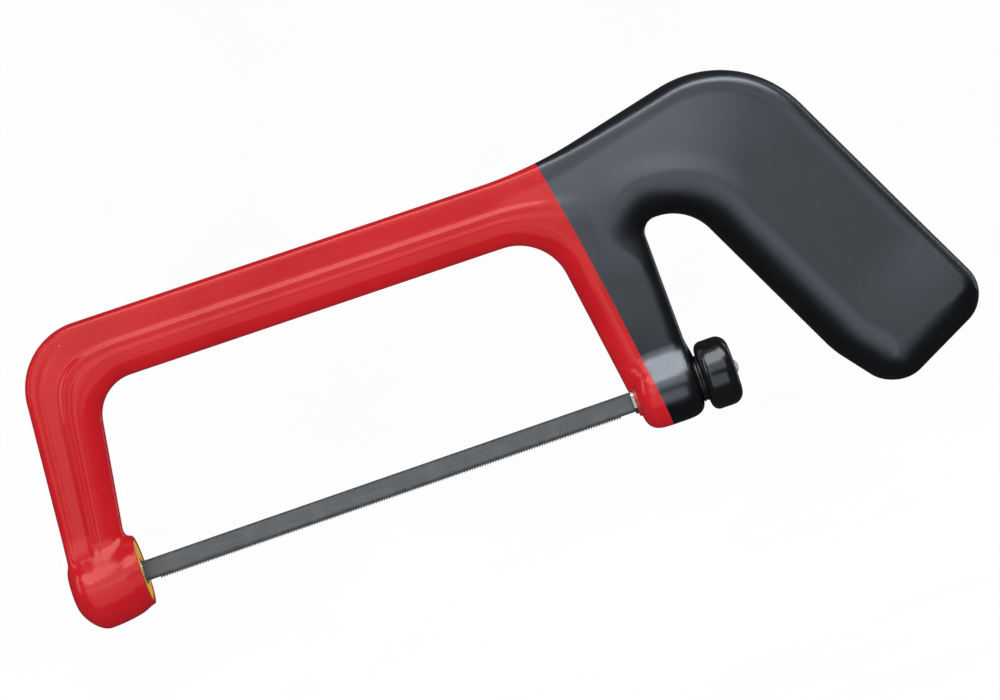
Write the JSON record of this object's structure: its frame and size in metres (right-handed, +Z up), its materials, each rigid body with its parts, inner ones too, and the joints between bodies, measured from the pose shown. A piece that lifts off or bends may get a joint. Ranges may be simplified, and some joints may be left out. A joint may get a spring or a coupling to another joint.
{
  "type": "insulated junior hacksaw",
  "caption": "Junior hacksaw with a coated bow frame, a closed pistol grip, a thin hooked blade and a knob on the rear arm that tensions it.",
  "frame": {"origin": "middle of the blade's left face, halfway between the faces of the front boss and the tension bolt", "axes": "+X along the blade towards the tension knob, +Y from the blade's left face to its right face, +Z up from the teeth to the top bar"},
  "size_m": [0.2773, 0.0256, 0.1039],
  "materials": {
    "outer_coat_red": "glossy red dipped plastic coat",
    "grip_coat_black": "satin black dipped plastic coat",
    "undercoat_yellow": "yellow insulating undercoat",
    "frame_core": "plain steel bar",
    "handle_filler_left": "moulded plastic",
    "handle_filler_right": "moulded plastic",
    "handle_rivet_top": "plated steel",
    "handle_rivet_middle": "plated steel",
    "handle_rivet_bottom": "plated steel",
    "front_stud": "plated steel",
    "front_stud_pin": "plated steel",
    "guide_bush": "red insulating plastic",
    "thrust_washer": "black plastic",
    "tension_bolt": "plated steel",
    "blade": "blued hardened steel",
    "knob_body": "glossy black plastic",
    "knob_nut": "turned brass insert",
    "knob_plug": "light grey plastic"
  },
  "bodies": {
    "frame": {"outer_coat_red": "outer_coat_red", "grip_coat_black": "grip_coat_black", "undercoat_yellow": "undercoat_yellow", "frame_core": "frame_core", "handle_filler_left": "handle_filler_left", "handle_filler_right": "handle_filler_right", "handle_rivet_top": "handle_rivet_top", "handle_rivet_middle": "handle_rivet_middle", "handle_rivet_bottom": "handle_rivet_bottom", "front_stud": "front_stud", "front_stud_pin": "front_stud_pin", "guide_bush": "guide_bush", "thrust_washer": "thrust_washer"},
    "tension_bolt": {"tension_bolt": "tension_bolt", "blade": "blade"},
    "knob": {"knob_body": "knob_body", "knob_nut": "knob_nut", "knob_plug": "knob_plug"}
  },
  "joints": [
    {"name": "knob_turn", "type": "hinge", "parent": "frame", "child": "knob", "pos_m": [0.101, 0, 0], "axis": [1, 0, 0], "range_deg": [0, 1440]},
    {"name": "tension_slide", "type": "slide", "parent": "frame", "child": "tension_bolt", "axis": [1, 0, 0], "range_m": [-0.0032, 0]}
  ],
  "couplings": [
    {"joint": "knob_turn", "follows": "tension_slide", "rad_per_m": -7854}
  ]
}
